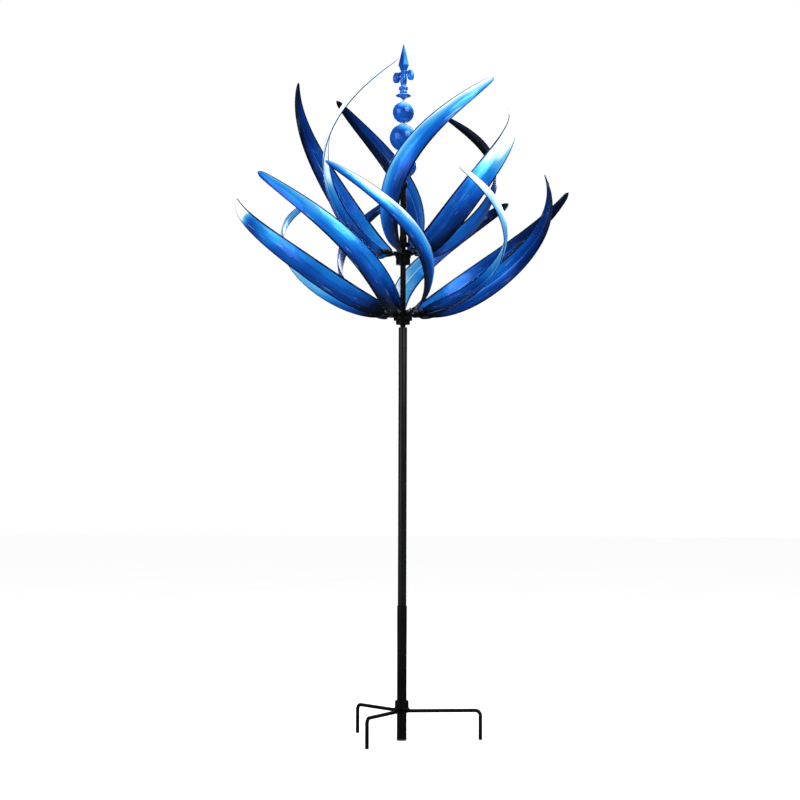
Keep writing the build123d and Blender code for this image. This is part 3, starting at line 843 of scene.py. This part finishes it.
def merged(mesh, cell, smooth_steps):
    """Overlapping closed skins joined to one cast surface."""
    bmesh.ops.recalc_face_normals(mesh, faces=mesh.faces[:])
    data = bpy.data.meshes.new("skins")
    mesh.to_mesh(data)
    mesh.free()
    thing = bpy.data.objects.new("skins", data)
    bpy.context.scene.collection.objects.link(thing)
    remesh = thing.modifiers.new("join", "REMESH")
    remesh.mode = "VOXEL"
    remesh.voxel_size = cell * MM
    smooth = thing.modifiers.new("soften", "SMOOTH")
    smooth.factor = 0.5
    smooth.iterations = smooth_steps
    joined = thing.evaluated_get(bpy.context.evaluated_depsgraph_get()).to_mesh()
    result = bmesh.new()
    result.from_mesh(joined)
    bpy.data.objects.remove(thing)
    return result


WAIST = ((0.0, 7.5), (5.0, 7.4), (7.0, 8.6), (14.0, 9.6), (21.0, 9.6), (29.0, 8.4), (37.5, 7.2), (41.0, 6.0))
NECK_RISE = 37.5            # the spear's heights are over its foot
WIDEST_RISE = 56.0
LOBE_TURN = 45              # degrees: the lobes stand across a corner of the point
ARM_RISE = 29.0
ARM_REACH = 14.0
ARM_CURVE = (12.0, 8.0)     # out and up
ARM_STEPS = 18
BULB_REACH = 26.0
BULB_TOP = 41.0
BULB_DROP = 29.2
BULB_RADIUS = 10.4
BULB_STEPS = 20
CAST_CELL = 0.7
CAST_SMOOTHING = 3


def arm_rings(low):
    """The arm of one lobe, which leaves the waist outward and droops."""
    out, up_by = ARM_CURVE
    side = Vector((0, 1, 0))
    rings = []
    for step in range(ARM_STEPS + 1):
        share = step / ARM_STEPS
        angle = pi * (0.80 - 0.98 * share)
        spot = Vector((ARM_REACH + out * cos(angle), 0, low + ARM_RISE + up_by * sin(angle) - up_by * share))
        on = Vector((out * sin(angle), 0, -up_by * cos(angle) - 2.6)).normalized()
        radius = 4.6 + 1.0 * share
        rings.append(ring_at(spot, (side, side.cross(on)), (radius, radius)))
    return rings


def bulb_rings(low, flat):
    """The hanging bulb at an arm's end, fuller toward its foot."""
    rings = []
    for step in range(1, BULB_STEPS):
        angle = pi * step / BULB_STEPS
        drop = (1 - cos(angle)) / 2
        radius = BULB_RADIUS * sin(angle) ** 0.7 * (0.84 + 0.24 * drop)
        spot = (BULB_REACH + 0.8 * drop, 0, low + BULB_TOP - BULB_DROP * drop)
        rings.append(ring_at(spot, flat, (radius, radius)))
    return rings


def spear_mesh():
    """Cast spear: a four-sided point over a collared waist, with a drooping bulb each side."""
    low, high, _ = span("finial_spear")
    neck = low + NECK_RISE
    widest = low + WIDEST_RISE
    flat = (Vector((1, 0, 0)), Vector((0, 1, 0)))
    mesh = bmesh.new()
    shell(mesh, [ring_at((0, 0, low + rise), flat, (radius, radius)) for rise, radius in WAIST])
    corners = ((neck - 3, 6.4), (neck, 7.0), (widest, 14.3), (high - 1.0, 1.8), (high, 1.3))
    shell(mesh, [ring_at((0, 0, height), flat, (radius, radius), count=4) for height, radius in corners])
    for side in (0, 180):
        turn = Matrix.Rotation(radians(side - LOBE_TURN), 3, "Z")
        for rings in (arm_rings(low), bulb_rings(low, flat)):
            shell(mesh, [[turn @ point for point in ring] for ring in rings])
    return merged(mesh, CAST_CELL, CAST_SMOOTHING)


def add_spear():
    piece("finial_spear_cast", spear_mesh(), body_of("finial_spear"), "finial_spear",
          MATERIALS["finial_blue"], sharp=50.0)


add_pole_parts()
add_hub_parts()
add_spindle_parts()
add_finial_parts()
add_prongs()
add_softened()
add_spear()


# ---- CAD nodes whose shape is right: they keep it and get a finish ----------------------------
STEEL_ENDINGS = ("races", "balls", "screws", "nuts", "screw")


def slot_of(node):
    """The record's material slot that a CAD node takes its finish from."""
    if node.startswith("finial") and node != "finial_stem":
        return "finial_blue"
    if node in ("pole_plug", "foot_cap"):
        return "bush_plastic"
    if node.split("_")[-1] in STEEL_ENDINGS:
        return "steel"
    return "black_paint"


def finish_cad_nodes():
    for name, thing in frame["nodes"].items():
        if thing.hide_render:
            continue
        thing.data.materials.clear()
        thing.data.materials.append(MATERIALS[slot_of(name)])


finish_cad_nodes()


# ---- stage, light and camera ------------------------------------------------------------------
# The camera's values come from a fit to the photograph. Places are in metres.
CAMERA_PLACE = (-0.007, -5.054, 0.597)
CAMERA_LENS = 86.84
CAMERA_TILT = 3.264         # degrees over level
CAMERA_ROLL = 0.18          # degrees
ROTORS_MIDDLE = (0, 0, 1.4)
FLOOR_RADIUS = 40.0


def add_floor():
    mesh = bmesh.new()
    bmesh.ops.create_circle(mesh, cap_ends=True, segments=128, radius=FLOOR_RADIUS)
    data = bpy.data.meshes.new("floor")
    mesh.to_mesh(data)
    mesh.free()
    floor = bpy.data.objects.new("floor", data)
    bpy.context.scene.collection.objects.link(floor)
    n = Nodes("pale_floor")
    colour = n.ramp(n.noise(n.place(), 1.5, 3.0), ((0.3, (0.965, 0.965, 0.965)), (0.7, (0.98, 0.98, 0.98))))
    data.materials.append(n.finish(colour, 0.9, Specular_IOR_Level=0.0))
    floor.location.z = cad_box[0].z
    floor.visible_glossy = False


def add_world():
    """White to the camera and on matt surfaces, but dimmer in reflections, as dark studio walls are."""
    world = bpy.data.worlds.new("studio")
    bpy.context.scene.world = world
    world.use_nodes = True
    tree = world.node_tree
    tree.nodes.clear()
    output = tree.nodes.new("ShaderNodeOutputWorld")
    white = tree.nodes.new("ShaderNodeBackground")
    white.inputs["Color"].default_value = (1, 1, 1, 1)
    walls = tree.nodes.new("ShaderNodeBackground")
    walls.inputs["Color"].default_value = (0.75, 0.88, 1, 1)
    walls.inputs["Strength"].default_value = 0.15
    path = tree.nodes.new("ShaderNodeLightPath")
    mix = tree.nodes.new("ShaderNodeMixShader")
    tree.links.new(path.outputs["Is Glossy Ray"], mix.inputs[0])
    tree.links.new(white.outputs[0], mix.inputs[1])
    tree.links.new(walls.outputs[0], mix.inputs[2])
    tree.links.new(mix.outputs[0], output.inputs[0])


def add_panel(name, place, aim, width, height, power):
    light = bpy.data.lights.new(name, "AREA")
    light.shape = "RECTANGLE"
    light.size = width
    light.size_y = height
    light.energy = power
    panel = bpy.data.objects.new(name, light)
    bpy.context.scene.collection.objects.link(panel)
    panel.location = place
    panel.rotation_euler = (Vector(aim) - Vector(place)).to_track_quat("-Z", "Y").to_euler()


def add_camera():
    data = bpy.data.cameras.new("camera")
    data.lens = CAMERA_LENS
    data.clip_end = 200
    camera = bpy.data.objects.new("camera", data)
    bpy.context.scene.collection.objects.link(camera)
    tilt = Matrix.Rotation(radians(90 + CAMERA_TILT), 4, "X")
    roll = Matrix.Rotation(radians(CAMERA_ROLL), 4, "Z")
    camera.matrix_world = Matrix.Translation(CAMERA_PLACE) @ (tilt @ roll)
    bpy.context.scene.camera = camera


add_floor()
add_world()
add_panel("key", (2.4, -3.2, 3.4), ROTORS_MIDDLE, 3.0, 3.0, 120)
add_panel("fill", (-3.4, -2.6, 1.9), ROTORS_MIDDLE, 2.8, 3.2, 65)
add_panel("back", (0.6, 3.4, 2.8), ROTORS_MIDDLE, 3.0, 1.6, 90)
add_camera()
bpy.context.scene.view_settings.view_transform = "Standard"
